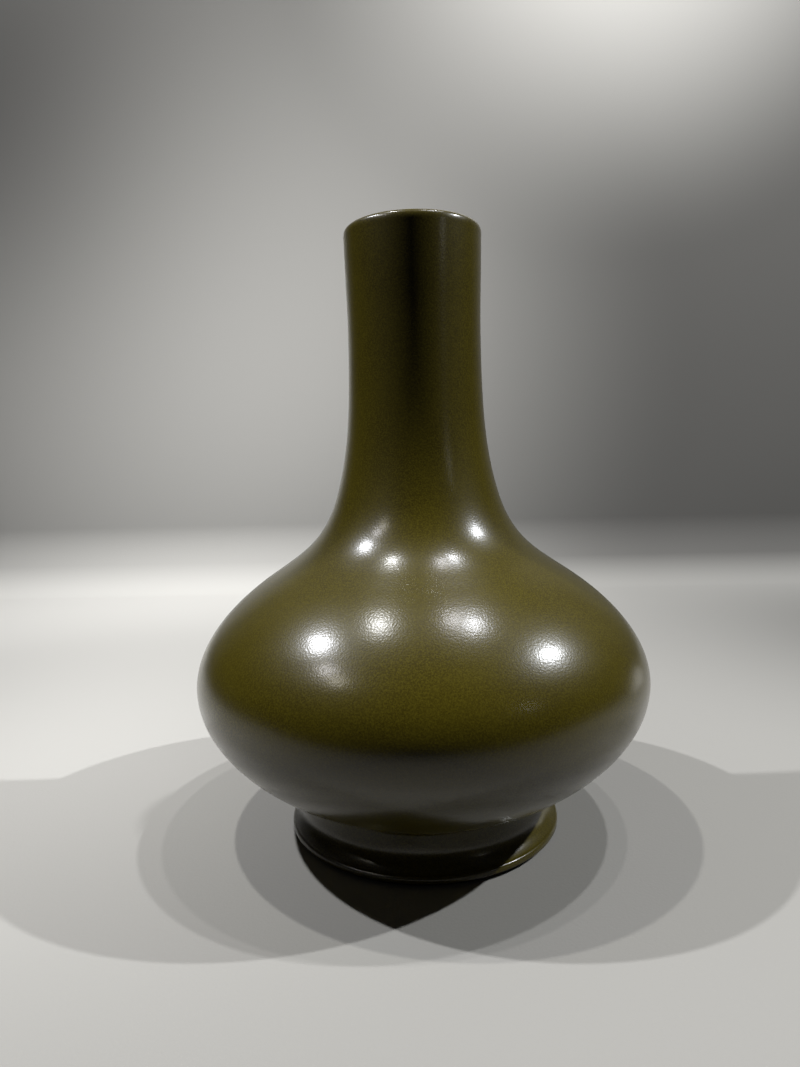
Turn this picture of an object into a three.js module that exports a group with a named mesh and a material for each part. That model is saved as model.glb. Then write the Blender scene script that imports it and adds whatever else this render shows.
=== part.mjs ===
// Water chestnut vase: a squat round body on a splayed foot ring, under a long plain neck.
//
// It is made the way such a vase is thrown: a foot ring, the two halves of the body and the
// neck are turned one by one and luted together with slip. Then it is glazed outside, inside
// and under the foot, and only the rim that it stands on stays bare.
//
// Lengths are in millimetres and +Z is up. The origin is the centre of the circle that the
// foot stands on.

import * as THREE from "three";

const HEIGHT = 330;

// Levels, stacked from the floor up: the foot, the widest part, the flattest part of the
// shoulder and the root of the neck
const FOOT_HEIGHT = 24;
const BELLY_RISE = 63.4;
const SHOULDER_RISE = 56.5;
const NECK_ROOT_RISE = 47.4;

// The neck is narrowest this far below the top.
const MOUTH_RISE = 49.5;

// Radii of the glazed outside
const FOOT_RADIUS = 76.1;
const WAIST_RADIUS = 67.6;
const BELLY_RADIUS = 124.5;
const SHOULDER_RADIUS = 83.3;
const NECK_ROOT_RADIUS = 43.8;
const NECK_RADIUS = 36.1;

// The neck opens again by this much on its way to the mouth, and is straight below the lip.
const MOUTH_FLARE = 0.9;
const LIP_STRAIGHT = 4;

// How steep the outline climbs, in degrees above level
const UNDERSIDE_SLOPE = 16.9;
const SHOULDER_SLOPE = 34;
const NECK_ROOT_SLOPE = 75;

// How far each bend keeps the direction of its end
const UNDERSIDE_REACH = 11.8;
const BELLY_REACH_DOWN = 33;
const BELLY_REACH_UP = 27.7;
const SHOULDER_REACH_DOWN = 12.4;
const SHOULDER_REACH_UP = 22.8;
const NECK_ROOT_REACH_DOWN = 28.8;
const NECK_ROOT_REACH_UP = 23.1;
const NECK_REACH = 45.7;

// Foot ring
const FOOT_EDGE_HEIGHT = 6.2;
const FOOT_EDGE_ROUND = 1.8;
const FLARE_HEIGHT = 11.4;
const WAIST_FILLET = 1.4;
const RIM_BEVEL = 2.8;
const RIM_WIDTH = 9.5;
const FOOT_WALL = 7.5;
const GLAZE_LINE = 3;

// Walls and coats
const NECK_WALL = 4.4;
const BODY_WALL = 7.2;
const GLAZE = 0.8;
const SLIP = 0.8;
const CLEARANCE = 0.3;

// The neck is luted on this far above the flattest part of the shoulder.
const NECK_SEAM_RISE = 18;

const FACETS = 40;

const COAT = GLAZE + CLEARANCE;
const LIP_ROUND = NECK_WALL / 2 + COAT;
const SEAM_HALF = SLIP / 2 + CLEARANCE;

const BELLY_LEVEL = FOOT_HEIGHT + BELLY_RISE;
const SHOULDER_LEVEL = BELLY_LEVEL + SHOULDER_RISE;
const NECK_ROOT_LEVEL = SHOULDER_LEVEL + NECK_ROOT_RISE;
const NECK_LEVEL = HEIGHT - MOUTH_RISE;
const NECK_SEAM_LEVEL = SHOULDER_LEVEL + NECK_SEAM_RISE;
const MOUTH_RADIUS = NECK_RADIUS + MOUTH_FLARE;
const LIP_START = HEIGHT - LIP_ROUND;

const CLAY = { color: 0x8c7a66, roughness: 0.9 };
const WASHED_CLAY = { color: 0x2b211a, roughness: 0.85 };
const SLIP_CLAY = { color: 0x9a8870, roughness: 0.95 };
const TEADUST = { color: 0x565138, roughness: 0.28 };

function point(radius, level) {
  return new THREE.Vector2(radius, level);
}

// A direction in the section, given in degrees above level and pointing away from the axis.
function heading(degrees) {
  const angle = THREE.MathUtils.degToRad(degrees);
  return point(Math.cos(angle), Math.sin(angle));
}

// A bend from one point to another that leaves and arrives along the given directions.
function bend(from, leaving, reachOut, to, arriving, reachIn, steps) {
  const outOf = from.clone().addScaledVector(leaving, reachOut);
  const into = to.clone().addScaledVector(arriving, -reachIn);
  return new THREE.CubicBezierCurve(from, outOf, into, to).getPoints(steps);
}

// A part of a circle in the section, between two angles in degrees.
function round(centre, radius, fromDegrees, toDegrees, steps) {
  const points = [];
  for (let i = 0; i <= steps; i += 1) {
    const degrees = THREE.MathUtils.lerp(fromDegrees, toDegrees, i / steps);
    points.push(centre.clone().addScaledVector(heading(degrees), radius));
  }
  return points;
}

// Joins runs of points into one line and drops the points that two runs share.
function join(...runs) {
  const line = [];
  for (const candidate of runs.flat()) {
    const last = line[line.length - 1];
    if (!last || last.distanceTo(candidate) > 0.01) line.push(candidate);
  }
  return line;
}

// Moves a line sideways into the wall, by a depth that may change from point to point.
function sink(line, depthAt) {
  return line.map((here, i) => {
    const before = line[Math.max(i - 1, 0)];
    const after = line[Math.min(i + 1, line.length - 1)];
    const along = i === 0 ? after.clone().sub(here) : here.clone().sub(before);
    const ahead = i === line.length - 1 ? along.clone() : after.clone().sub(here);
    along.normalize();
    ahead.normalize();
    const middle = along.clone().add(ahead).normalize();
    const inward = point(-middle.y, middle.x);
    return here.clone().addScaledVector(inward, depthAt(here) / middle.dot(ahead));
  });
}

// The stretch of a rising line between two levels, with a point exactly on each of them.
function between(line, low, high) {
  const atLevel = (level) => {
    const next = line.findIndex((candidate) => candidate.y > level);
    const below = line[next - 1];
    const above = line[next];
    return below.clone().lerp(above, (level - below.y) / (above.y - below.y));
  };
  const start = low === null ? [] : [atLevel(low)];
  const end = high === null ? [] : [atLevel(high)];
  const inside = line.filter(({ y }) => (low === null || y > low) && (high === null || y < high));
  return join(start, inside, end);
}

function reversed(line) {
  return [...line].reverse();
}

// The glazed outside of the foot ring, from the edge of the glaze up to the waist.
function footOutline() {
  const edgeTop = point(FOOT_RADIUS - FOOT_EDGE_ROUND, FOOT_EDGE_HEIGHT);
  const edgeCentre = point(edgeTop.x, FOOT_EDGE_HEIGHT - FOOT_EDGE_ROUND);
  const waist = point(WAIST_RADIUS, FOOT_EDGE_HEIGHT + FLARE_HEIGHT);
  const flareReach = (FOOT_RADIUS - WAIST_RADIUS) / 2;
  return join(
    [point(FOOT_RADIUS, GLAZE_LINE)],
    round(edgeCentre, FOOT_EDGE_ROUND, 0, 90, 3),
    bend(edgeTop, heading(155), flareReach, waist, heading(90), FLARE_HEIGHT / 2, 4),
  );
}

// The glazed outside of the body and neck, from the waist up to the start of the lip.
function bodyOutline() {
  const start = point(WAIST_RADIUS + WAIST_FILLET, FOOT_HEIGHT + WAIST_FILLET);
  const belly = point(BELLY_RADIUS, BELLY_LEVEL);
  const shoulder = point(SHOULDER_RADIUS, SHOULDER_LEVEL);
  const root = point(NECK_ROOT_RADIUS, NECK_ROOT_LEVEL);
  const neck = point(NECK_RADIUS, NECK_LEVEL);
  const mouth = point(MOUTH_RADIUS, LIP_START - LIP_STRAIGHT);
  const outward = heading(UNDERSIDE_SLOPE);
  const up = heading(90);
  const shoulderward = heading(180 - SHOULDER_SLOPE);
  const neckward = heading(180 - NECK_ROOT_SLOPE);
  const mouthReach = (mouth.y - neck.y) / 3;
  return join(
    [point(WAIST_RADIUS, FOOT_HEIGHT)],
    bend(start, outward, UNDERSIDE_REACH, belly, up, BELLY_REACH_DOWN, 7),
    bend(belly, up, BELLY_REACH_UP, shoulder, shoulderward, SHOULDER_REACH_DOWN, 7),
    bend(shoulder, shoulderward, SHOULDER_REACH_UP, root, neckward, NECK_ROOT_REACH_DOWN, 6),
    bend(root, neckward, NECK_ROOT_REACH_UP, neck, up, NECK_REACH, 4),
    bend(neck, up, mouthReach, mouth, up, mouthReach, 2),
    [point(MOUTH_RADIUS, LIP_START)],
  );
}

// The lip is a half circle over the middle of the neck's wall.
function lipOutline(depth) {
  const centre = point(MOUTH_RADIUS - LIP_ROUND, LIP_START);
  return round(centre, LIP_ROUND - depth, 0, 180, 6);
}

// The clay is thin in the neck and grows thicker down to the belly.
function clayWallAt({ y }) {
  const share = THREE.MathUtils.smoothstep(y, BELLY_LEVEL, NECK_ROOT_LEVEL);
  return THREE.MathUtils.lerp(BODY_WALL, NECK_WALL, share);
}

const foot = footOutline();
const body = bodyOutline();
const outside = join(foot, body);

const clayOutside = sink(outside, () => COAT);
const clayInside = sink(body, (here) => COAT + clayWallAt(here)).slice(1);
const hollow = sink(body, (here) => COAT + clayWallAt(here) + CLEARANCE).slice(1);
const hollowGlazed = sink(body, (here) => COAT + clayWallAt(here) + COAT).slice(1);

// One turned piece: a section that starts and ends on the axis or closes on itself.
function turned(name, section, look) {
  const geometry = new THREE.LatheGeometry(section, FACETS);
  geometry.rotateX(Math.PI / 2);
  const mesh = new THREE.Mesh(geometry, new THREE.MeshStandardMaterial({ metalness: 0, ...look }));
  mesh.name = name;
  return mesh;
}

function ring(name, section, look) {
  return turned(name, [...section, section[0]], look);
}

const seamOutside = between(clayOutside, FOOT_HEIGHT - SEAM_HALF, null)[0];
const recessTopRadius = seamOutside.x - FOOT_WALL;
const recessRimRadius = FOOT_RADIUS - COAT - RIM_BEVEL - RIM_WIDTH;
const floorLevel = clayInside[0].y;

function footRing() {
  const top = FOOT_HEIGHT - SEAM_HALF;
  return ring("foot_ring", [
    point(recessRimRadius, 0),
    point(recessRimRadius + RIM_WIDTH, 0),
    point(FOOT_RADIUS - COAT, RIM_BEVEL),
    ...between(clayOutside, null, top),
    point(recessTopRadius, top),
  ], WASHED_CLAY);
}

function lowerBody() {
  const bottom = FOOT_HEIGHT + SEAM_HALF;
  const top = BELLY_LEVEL - SEAM_HALF;
  return turned("lower_body", [
    point(0, bottom),
    ...between(clayOutside, bottom, top),
    ...reversed(between(clayInside, null, top)),
    point(0, floorLevel),
  ], CLAY);
}

function upperBody() {
  const bottom = BELLY_LEVEL + SEAM_HALF;
  const top = NECK_SEAM_LEVEL - SEAM_HALF;
  return ring("upper_body", [
    ...between(clayOutside, bottom, top),
    ...reversed(between(clayInside, bottom, top)),
  ], CLAY);
}

function neck() {
  const bottom = NECK_SEAM_LEVEL + SEAM_HALF;
  const section = join(
    between(clayOutside, bottom, null),
    lipOutline(COAT),
    reversed(between(clayInside, bottom, null)),
  );
  return ring("neck", section, CLAY);
}

// A ring of slip between two pieces, as wide as the clay wall at its level.
function lutingSlip(name, level) {
  const low = level - SLIP / 2;
  const high = level + SLIP / 2;
  return ring(name, [
    ...between(clayOutside, low, high),
    ...reversed(between(clayInside, low, high)),
  ], SLIP_CLAY);
}

function footLutingSlip() {
  const low = FOOT_HEIGHT - SLIP / 2;
  const high = FOOT_HEIGHT + SLIP / 2;
  return ring("foot_luting_slip", [
    point(recessTopRadius, low),
    ...between(clayOutside, low, high),
    point(recessTopRadius, high),
  ], SLIP_CLAY);
}

// The outer glaze runs from its edge on the foot over the lip to the start of the bore.
function outerGlaze() {
  const face = join(outside, lipOutline(0));
  const back = join(sink(outside, () => GLAZE), lipOutline(GLAZE));
  return ring("outer_glaze", [...face, ...reversed(back)], TEADUST);
}

// The inner glaze lines the bore and the hollow and ends under the edge of the outer glaze.
function innerGlaze() {
  const top = LIP_START - CLEARANCE;
  return turned("inner_glaze", [
    point(0, hollow[0].y),
    ...between(hollow, null, top),
    ...reversed(between(hollowGlazed, null, top)),
    point(0, hollowGlazed[0].y),
  ], TEADUST);
}

// The base glaze covers the recess inside the foot ring down to just above the rim.
function baseGlaze() {
  const back = FOOT_HEIGHT + SEAM_HALF - CLEARANCE;
  const wallRadius = (level, depth) => {
    const share = level / (FOOT_HEIGHT - SEAM_HALF);
    return THREE.MathUtils.lerp(recessRimRadius, recessTopRadius, share) - depth;
  };
  const corner = recessTopRadius - CLEARANCE;
  return turned("base_glaze", [
    point(0, back - GLAZE),
    point(corner - GLAZE, back - GLAZE),
    point(wallRadius(FOOT_HEIGHT - SEAM_HALF, COAT), FOOT_HEIGHT - SEAM_HALF),
    point(wallRadius(GLAZE_LINE, COAT), GLAZE_LINE),
    point(wallRadius(GLAZE_LINE, CLEARANCE), GLAZE_LINE),
    point(corner, FOOT_HEIGHT - SEAM_HALF),
    point(corner, back),
    point(0, back),
  ], TEADUST);
}

const vase = new THREE.Group();
vase.add(
  footRing(),
  lowerBody(),
  upperBody(),
  neck(),
  footLutingSlip(),
  lutingSlip("belly_luting_slip", BELLY_LEVEL),
  lutingSlip("neck_luting_slip", NECK_SEAM_LEVEL),
  outerGlaze(),
  innerGlaze(),
  baseGlaze(),
);

export default vase;
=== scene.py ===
"""A water chestnut vase in olive teadust glaze, standing on a plain pale sweep of paper.

The vase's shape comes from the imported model: each turned piece that shows is turned again
from its own section, with a smooth line through the section's points. Lengths are in metres.
"""

import math

import bmesh
import bpy
from mathutils import Matrix, Vector


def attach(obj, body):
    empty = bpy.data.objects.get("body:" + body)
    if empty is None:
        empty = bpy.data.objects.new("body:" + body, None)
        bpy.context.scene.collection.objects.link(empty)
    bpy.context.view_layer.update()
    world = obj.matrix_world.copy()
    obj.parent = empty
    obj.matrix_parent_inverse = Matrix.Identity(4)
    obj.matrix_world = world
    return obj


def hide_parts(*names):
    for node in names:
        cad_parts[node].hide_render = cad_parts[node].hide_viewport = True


# Camera, fitted to the vase's outline in the photograph
CAMERA_BACK = 0.4109
CAMERA_HEIGHT = 0.2106
CAMERA_YAW = math.radians(-1.458)
CAMERA_PITCH = math.radians(6.240)
CAMERA_ROLL = math.radians(1.418)
LENS_MM = 24.78
SENSOR_MM = 36.0

# How finely the pieces are turned. A bend sharper than CORNER_TURN stays a corner, and points
# nearer to each other than SAME_POINT are one point, or SAME_TURNED_POINT once turned.
FACETS_AROUND = 192
STEPS_BETWEEN_POINTS = 5
CORNER_TURN = math.radians(40)
SAME_POINT = 1e-5
SAME_TURNED_POINT = SAME_POINT / 10

# The sweep of paper behind and under the vase
WALL_BEHIND = 0.79
SWEEP_RADIUS = 0.10
SWEEP_STEPS = 24
SWEEP_LEFT = -1.2
SWEEP_RIGHT = 1.4
SWEEP_FRONT = -0.6
SWEEP_TOP = 1.3

# The paper's colour, and the darker one with which it lights the vase
PAPER_SEEN = (194, 191, 183)
PAPER_AS_LIGHT = (40, 40, 39)

# Painted light and shade on the paper: how light it is painted, as a share of its colour, on
# the floor and on the wall, and the painted pools of light and shade on it: where each is, how
# far it reaches and how much light it adds; a negative one takes light away. Towards the front
# and the sides it is painted darker.
FLOOR_TONE = 0.84
WALL_TONE = 0.38
BEND_TOP = 0.04
PAINTED_LIGHT_POOLS = (
    ((-0.33, 0.79, 0.33), 0.78, 1.41),
    ((0.32, 0.79, 1.02), 0.53, 1.50),
    ((0.62, 0.38, 0.00), 0.49, -0.43),
    ((-0.25, 0.10, 0.00), 0.37, 0.42),
    ((-0.55, 0.79, 0.58), 0.59, -0.64),
)
FRONT_START = -0.17
FRONT_END = -0.42
FRONT_PAINTED_SHADE = 0.05
SIDE_START = 0.68
SIDE_END = 0.80
SIDE_PAINTED_SHADE = 0.45

# The lamps are small disks, aimed at one point on the vase's axis. Most hang equally high.
LAMP_HEIGHT = 2.0
LAMP_SIZE = 0.05
LAMP_AIM = 0.12

# How bright the room is that the glaze mirrors, as a linear grey
ROOM_TONE = 0.009

# The Mix node's sockets for colours, by number, because several sockets share each name
MIX_SHARE = 0
MIX_FIRST = 6
MIX_SECOND = 7
MIX_RESULT = 2

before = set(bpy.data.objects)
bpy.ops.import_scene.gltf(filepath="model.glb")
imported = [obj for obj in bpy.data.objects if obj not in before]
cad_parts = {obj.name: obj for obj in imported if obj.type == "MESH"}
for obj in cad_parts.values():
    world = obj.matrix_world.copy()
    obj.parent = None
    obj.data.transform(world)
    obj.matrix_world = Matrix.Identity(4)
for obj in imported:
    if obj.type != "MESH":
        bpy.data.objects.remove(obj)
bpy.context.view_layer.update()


def section(node):
    """A turned CAD node's section: its (radius, height) points in order, and if it is closed."""
    mesh = bmesh.new()
    mesh.from_mesh(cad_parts[node].data)
    bmesh.ops.remove_doubles(mesh, verts=mesh.verts, dist=SAME_POINT)
    cut = {v for v in mesh.verts if abs(v.co.y) < SAME_POINT and v.co.x > -SAME_POINT}
    beside = {v: [e.other_vert(v) for e in v.link_edges if e.other_vert(v) in cut] for v in cut}
    ends = [v for v in cut if len(beside[v]) == 1]
    here = min(ends or cut, key=lambda v: (v.co.z, v.co.x))
    path = [here]
    while True:
        ahead = [v for v in beside[here] if v not in path]
        if not ahead:
            break
        here = ahead[0]
        path.append(here)
    points = [Vector((max(v.co.x, 0.0), v.co.z)) for v in path]
    mesh.free()
    return points, not ends


def turn_at(before, here, after):
    """The angle by which a line turns at the point here."""
    return abs((here - before).angle_signed(after - here, 0.0))


def eased(p0, p1, p2, p3, steps):
    """Points from p1 up to p2, without p2, on a centripetal Catmull-Rom curve."""
    t0 = 0.0
    t1 = t0 + math.sqrt((p1 - p0).length)
    t2 = t1 + math.sqrt((p2 - p1).length)
    t3 = t2 + math.sqrt((p3 - p2).length)
    points = []
    for i in range(steps):
        t = t1 + (t2 - t1) * i / steps
        a1 = p0.lerp(p1, (t - t0) / (t1 - t0))
        a2 = p1.lerp(p2, (t - t1) / (t2 - t1))
        a3 = p2.lerp(p3, (t - t2) / (t3 - t2))
        b1 = a1.lerp(a2, (t - t0) / (t2 - t0))
        b2 = a2.lerp(a3, (t - t1) / (t3 - t1))
        points.append(b1.lerp(b2, (t - t1) / (t2 - t1)))
    return points


def smooth(points, closed):
    """The section's points with a smooth line through them, which keeps its corners."""
    if closed:
        count = len(points)
        corners = [
            i for i in range(count)
            if turn_at(points[i - 1], points[i], points[(i + 1) % count]) > CORNER_TURN
        ]
        points = points[corners[0]:] + points[:corners[0]] + [points[corners[0]]]
    last = len(points) - 1
    sharp = [
        i in (0, last) or turn_at(points[i - 1], points[i], points[i + 1]) > CORNER_TURN
        for i in range(last + 1)
    ]
    line = []
    for i in range(last):
        p1 = points[i]
        p2 = points[i + 1]
        p0 = p1 * 2 - p2 if sharp[i] else points[i - 1]
        p3 = p2 * 2 - p1 if sharp[i + 1] else points[i + 2]
        line += eased(p0, p1, p2, p3, STEPS_BETWEEN_POINTS)
    return line if closed else line + [points[last]]


def turned_again(name, node, material):
    """A smooth turned piece that stands for a faceted CAD node."""
    points, closed = section(node)
    line = smooth(points, closed)
    mesh = bmesh.new()
    verts = [mesh.verts.new((p.x, 0.0, p.y)) for p in line]
    pairs = list(zip(verts, verts[1:]))
    if closed:
        pairs.append((verts[-1], verts[0]))
    edges = [mesh.edges.new(pair) for pair in pairs]
    bmesh.ops.spin(
        mesh, geom=verts + edges, cent=(0, 0, 0), axis=(0, 0, 1),
        angle=math.tau, steps=FACETS_AROUND, use_merge=True,
    )
    bmesh.ops.remove_doubles(mesh, verts=mesh.verts, dist=SAME_TURNED_POINT)
    bmesh.ops.recalc_face_normals(mesh, faces=mesh.faces)
    for face in mesh.faces:
        face.smooth = True
    data = bpy.data.meshes.new(name)
    mesh.to_mesh(data)
    mesh.free()
    piece = bpy.data.objects.new(name, data)
    bpy.context.collection.objects.link(piece)
    data.materials.append(material)
    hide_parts(node)
    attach(piece, "root")


class Shader:
    """A node material with one Principled surface, built up call by call."""

    def __init__(self, name):
        self.material = bpy.data.materials.new(name)
        self.material.use_nodes = True
        self.tree = self.material.node_tree
        self.surface = self.tree.nodes["Principled BSDF"]
        self.place = self.add("ShaderNodeTexCoord").outputs["Object"]

    def add(self, kind, **inputs):
        """A new node. In the names of its inputs an underscore stands for a space."""
        node = self.tree.nodes.new(kind)
        for socket, value in inputs.items():
            self.feed(node.inputs[socket.replace("_", " ")], value)
        return node

    def feed(self, socket, value):
        """Links a socket to another one, or sets it to a constant."""
        if isinstance(value, bpy.types.NodeSocket):
            self.tree.links.new(value, socket)
        else:
            socket.default_value = value

    def noise(self, per_metre, detail=2.0, roughness=0.5):
        """Noise from 0 to 1, with so many grains to the metre."""
        node = self.add(
            "ShaderNodeTexNoise", Vector=self.place, Scale=per_metre, Detail=detail,
            Roughness=roughness,
        )
        return node.outputs["Fac"]

    def cells(self, per_metre):
        """How far a point is from the middle of its cell, with so many cells to the metre."""
        node = self.add("ShaderNodeTexVoronoi", Vector=self.place, Scale=per_metre)
        return node.outputs["Distance"]

    def spread(self, value, low, high, to_low=0.0, to_high=1.0, soft=False):
        """The value moved from the range low to high into to_low to to_high, and kept in it."""
        node = self.add("ShaderNodeMapRange")
        node.clamp = True
        node.interpolation_type = "SMOOTHSTEP" if soft else "LINEAR"
        self.feed(node.inputs["Value"], value)
        for socket, number in zip(("From Min", "From Max", "To Min", "To Max"),
                                  (low, high, to_low, to_high)):
            node.inputs[socket].default_value = number
        return node.outputs["Result"]

    def blend(self, share, first, second, clamp=True):
        """The first colour where the share is 0, and the second where it is 1."""
        node = self.tree.nodes.new("ShaderNodeMix")
        node.data_type = "RGBA"
        node.clamp_factor = clamp
        self.feed(node.inputs[MIX_SHARE], share)
        self.feed(node.inputs[MIX_FIRST], first)
        self.feed(node.inputs[MIX_SECOND], second)
        return node.outputs[MIX_RESULT]

    def calculate(self, operation, first, second):
        """One step of arithmetic."""
        node = self.tree.nodes.new("ShaderNodeMath")
        node.operation = operation
        self.feed(node.inputs[0], first)
        self.feed(node.inputs[1], second)
        return node.outputs["Value"]

    def distance(self, centre):
        """How far a point is from the centre, in metres."""
        node = self.tree.nodes.new("ShaderNodeVectorMath")
        node.operation = "DISTANCE"
        self.feed(node.inputs[0], self.place)
        self.feed(node.inputs[1], centre)
        return node.outputs["Value"]

    def bump(self, height, depth, under=None):
        """A bumped normal of this depth in metres, over the bump that is under it, if any."""
        node = self.add("ShaderNodeBump", Strength=1.0, Distance=depth, Height=height)
        if under is not None:
            self.feed(node.inputs["Normal"], under)
        return node.outputs["Normal"]

    def set(self, **inputs):
        """Sets inputs of the surface and gives the material back."""
        for socket, value in inputs.items():
            self.feed(self.surface.inputs[socket.replace("_", " ")], value)
        return self.material


def colour(red, green, blue):
    """The shader's linear values for a colour that is written as 8-bit sRGB."""
    def linear(value):
        share = value / 255
        return share / 12.92 if share <= 0.04045 else ((share + 0.055) / 1.055) ** 2.4
    return (linear(red), linear(green), linear(blue), 1.0)


def teadust_glaze():
    """Olive glaze: yellow-green dust and dark specks on a browner ground, with a satin coat."""
    shader = Shader("teadust_glaze")
    grain = shader.noise(per_metre=1300, detail=2.0, roughness=0.6)
    clouds = shader.noise(per_metre=28, detail=3.0)
    specks = shader.cells(per_metre=1500)
    ground = shader.blend(
        shader.spread(clouds, low=0.35, high=0.65), colour(71, 61, 5), colour(79, 69, 8))
    dusted = shader.blend(
        shader.spread(grain, low=0.42, high=0.62), ground, colour(95, 85, 16))
    speckled = shader.blend(
        shader.spread(specks, low=0.10, high=0.28), colour(48, 39, 4), dusted)
    # A slow waviness, and over it the fine grain that breaks up the highlights
    peel = shader.bump(shader.noise(per_metre=300, detail=0.0), depth=0.00001)
    fine = shader.bump(shader.noise(per_metre=1150, detail=0.0), depth=0.000032, under=peel)
    return shader.set(
        Base_Color=speckled,
        Roughness=0.38,
        IOR=1.5,
        Specular_IOR_Level=0.14,
        Normal=fine,
        Coat_Weight=1.0,
        Coat_Roughness=0.22,
        Coat_IOR=1.42,
        Coat_Normal=fine,
    )


def bare_clay(name, light, dark):
    """Dry fired clay with fine grit."""
    shader = Shader(name)
    grit = shader.noise(per_metre=900, detail=4.0, roughness=0.7)
    clouds = shader.noise(per_metre=60, detail=2.0)
    body = shader.blend(shader.spread(clouds, low=0.35, high=0.65), dark, light)
    return shader.set(
        Base_Color=shader.blend(shader.spread(grit, low=0.55, high=0.7), body, dark),
        Roughness=shader.spread(grit, low=0.3, high=0.7, to_low=0.75, to_high=0.95),
        Normal=shader.bump(grit, depth=0.00012),
    )


def paper():
    """Pale grey paper, painted with pools of light and shade and darker at front and sides.

    It throws less light onto the vase than the camera and the reflections see on it.
    """
    shader = Shader("paper")
    axes = shader.add("ShaderNodeSeparateXYZ", Vector=shader.place).outputs
    # Painted light and shade: floor lighter than wall, pools of light and shade, darker to the
    # front and sides
    light = shader.spread(axes["Z"], 0.0, BEND_TOP, FLOOR_TONE, WALL_TONE)
    for centre, radius, gain in PAINTED_LIGHT_POOLS:
        painted_pool = shader.spread(shader.distance(centre), 0.0, radius, gain, 0.0, soft=True)
        light = shader.calculate("ADD", light, painted_pool)
    front = shader.spread(axes["Y"], FRONT_END, FRONT_START, FRONT_PAINTED_SHADE, 1.0, soft=True)
    light = shader.calculate("MULTIPLY", light, front)
    aside = shader.calculate("ABSOLUTE", axes["X"], 0.0)
    side = shader.spread(aside, SIDE_START, SIDE_END, 1.0, SIDE_PAINTED_SHADE, soft=True)
    light = shader.calculate("MULTIPLY", light, side)
    seen = shader.blend(light, colour(0, 0, 0), colour(*PAPER_SEEN), clamp=False)
    path = shader.add("ShaderNodeLightPath").outputs
    direct = path["Is Camera Ray"]
    for other in ("Is Glossy Ray", "Is Transmission Ray"):
        direct = shader.calculate("ADD", direct, path[other])
    return shader.set(
        Base_Color=shader.blend(direct, colour(*PAPER_AS_LIGHT), seen),
        Roughness=0.9,
        Specular_IOR_Level=0.1,
        Normal=shader.bump(shader.noise(per_metre=600, detail=3.0), depth=0.0001),
    )


def paper_sweep():
    """Floor and backdrop in one sheet that curves up behind the vase."""
    line = [Vector((SWEEP_FRONT, 0.0))]
    centre = Vector((WALL_BEHIND - SWEEP_RADIUS, SWEEP_RADIUS))
    for i in range(SWEEP_STEPS + 1):
        angle = math.pi / 2 * i / SWEEP_STEPS
        line.append(centre + SWEEP_RADIUS * Vector((math.sin(angle), -math.cos(angle))))
    line.append(Vector((WALL_BEHIND, SWEEP_TOP)))
    mesh = bmesh.new()
    rows = [
        [mesh.verts.new((side, p.x, p.y)) for side in (SWEEP_LEFT, SWEEP_RIGHT)] for p in line
    ]
    for low, high in zip(rows, rows[1:]):
        mesh.faces.new((low[0], low[1], high[1], high[0])).smooth = True
    data = bpy.data.meshes.new("paper_sweep")
    mesh.to_mesh(data)
    mesh.free()
    sheet = bpy.data.objects.new("paper_sweep", data)
    bpy.context.collection.objects.link(sheet)
    data.materials.append(paper())


def lamp(name, right, back, watts, tint, height=LAMP_HEIGHT, size=LAMP_SIZE, glint_only=False):
    """A lamp, placed in metres to the right of the vase, behind it and above the floor.

    One that is glint_only shows in the glaze and adds no light of its own.
    """
    light = bpy.data.lights.new(name, "AREA")
    light.shape = "DISK"
    light.size = size
    light.energy = watts
    light.color = tint
    holder = bpy.data.objects.new(name, light)
    holder.location = (right, back, height)
    backwards = holder.location - Vector((0.0, 0.0, LAMP_AIM))
    holder.rotation_euler = backwards.to_track_quat("Z", "Y").to_euler()
    holder.visible_diffuse = not glint_only
    holder.visible_camera = False
    bpy.context.collection.objects.link(holder)


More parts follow.
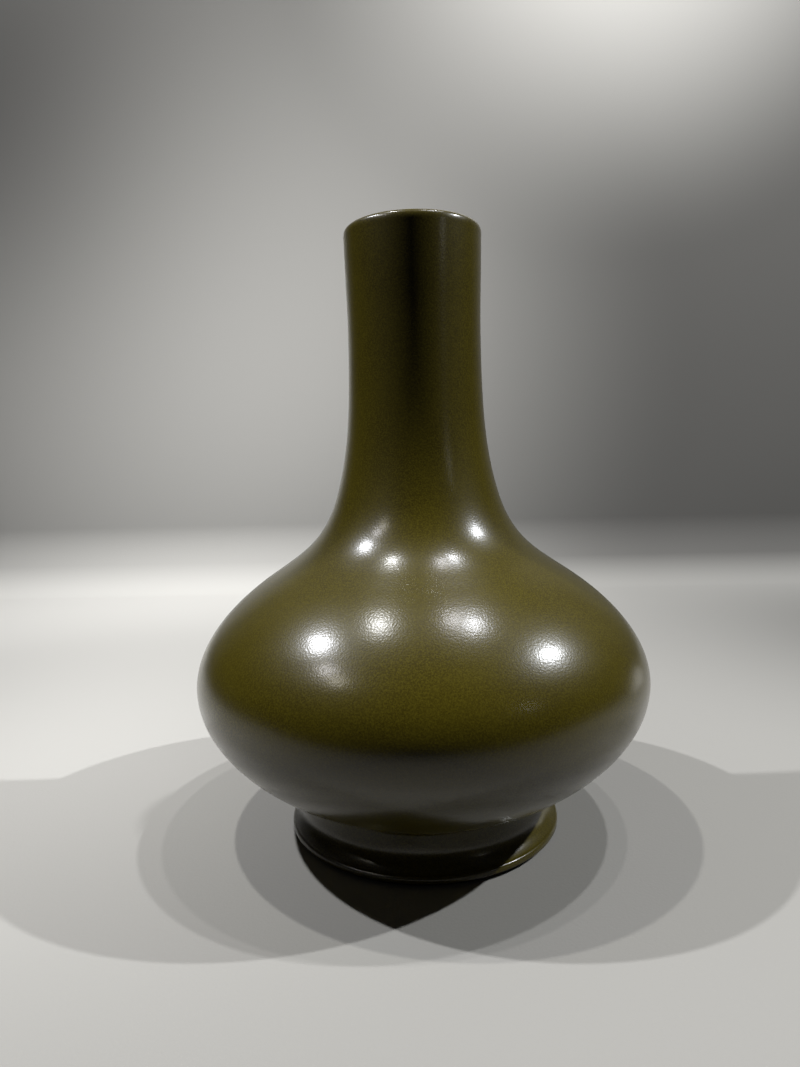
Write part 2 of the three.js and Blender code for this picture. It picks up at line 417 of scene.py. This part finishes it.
def lamps():
    """The lamps stand where the vase's highlights and shadows in the photograph put them."""
    lamp("left_lamp", right=-1.387, back=-0.041, watts=28.0, tint=(0.92, 0.94, 1.0))
    lamp("right_lamp", right=2.101, back=-0.080, watts=42.0, tint=(0.92, 0.95, 1.0))
    lamp("top_left_lamp", right=-0.480, back=-0.053, watts=9.0, tint=(0.98, 0.99, 1.0))
    lamp("top_right_lamp", right=0.631, back=-0.027, watts=9.0, tint=(0.92, 0.94, 1.0))
    lamp("small_right_lamp", right=0.373, back=-0.018, watts=3.5, tint=(0.96, 0.95, 1.0))
    lamp(
        "front_left_lamp", right=-1.55, back=-0.76, watts=6.0, tint=(0.98, 0.96, 1.0),
        glint_only=True,
    )
    lamp(
        "far_front_left_lamp", right=-1.51, back=-1.185, watts=3.4, tint=(1.0, 0.95, 0.84),
        glint_only=True,
    )
    lamp(
        "front_right_lamp", right=1.77, back=-1.46, watts=0.33, tint=(1.0, 1.0, 1.0),
        height=0.96, glint_only=True,
    )
    lamp(
        "low_right_lamp", right=0.62, back=0.30, watts=0.05, tint=(1.0, 0.98, 0.92),
        height=0.03, size=0.16, glint_only=True,
    )


def surroundings():
    """A dim neutral room."""
    world = bpy.data.worlds.new("room")
    world.use_nodes = True
    background = world.node_tree.nodes["Background"]
    background.inputs["Color"].default_value = (ROOM_TONE, ROOM_TONE, ROOM_TONE, 1.0)
    background.inputs["Strength"].default_value = 1.0
    bpy.context.scene.world = world


def photograph_camera():
    """The camera where the photograph was taken. Its turn is yaw, then pitch, then roll."""
    turn = (
        Matrix.Rotation(-CAMERA_ROLL, 3, "Y")
        @ Matrix.Rotation(CAMERA_PITCH, 3, "X")
        @ Matrix.Rotation(CAMERA_YAW, 3, "Z")
    )
    facing = turn.transposed() @ Matrix.Rotation(math.pi / 2, 3, "X")
    data = bpy.data.cameras.new("camera")
    data.lens = LENS_MM
    data.sensor_width = SENSOR_MM
    camera = bpy.data.objects.new("camera", data)
    camera.matrix_world = (
        Matrix.Translation((0.0, -CAMERA_BACK, CAMERA_HEIGHT)) @ facing.to_4x4())
    bpy.context.collection.objects.link(camera)
    bpy.context.scene.camera = camera


def keep_cad_nodes(material, nodes):
    """Gives a material to CAD nodes whose own shape is kept."""
    for node in nodes:
        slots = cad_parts[node].data.materials
        slots.clear()
        slots.append(material)


def main():
    bpy.context.scene.view_settings.view_transform = "Standard"
    photograph_camera()
    surroundings()
    lamps()
    paper_sweep()
    glaze = teadust_glaze()
    turned_again("glazed_outside", "outer_glaze", glaze)
    turned_again("glazed_inside", "inner_glaze", glaze)
    turned_again("glazed_recess", "base_glaze", glaze)
    # The foot ring's clay is given a dark brown colour
    dark_foot_clay = bare_clay("washed_clay", light=colour(58, 46, 36), dark=colour(34, 26, 20))
    turned_again("standing_ring", "foot_ring", dark_foot_clay)
    clay = bare_clay("bare_clay", light=colour(160, 140, 118), dark=colour(128, 108, 88))
    keep_cad_nodes(clay, ["lower_body", "upper_body", "neck"])
    slip = bare_clay("dry_slip", light=colour(176, 158, 134), dark=colour(146, 128, 106))
    keep_cad_nodes(slip, ["foot_luting_slip", "belly_luting_slip", "neck_luting_slip"])


main()
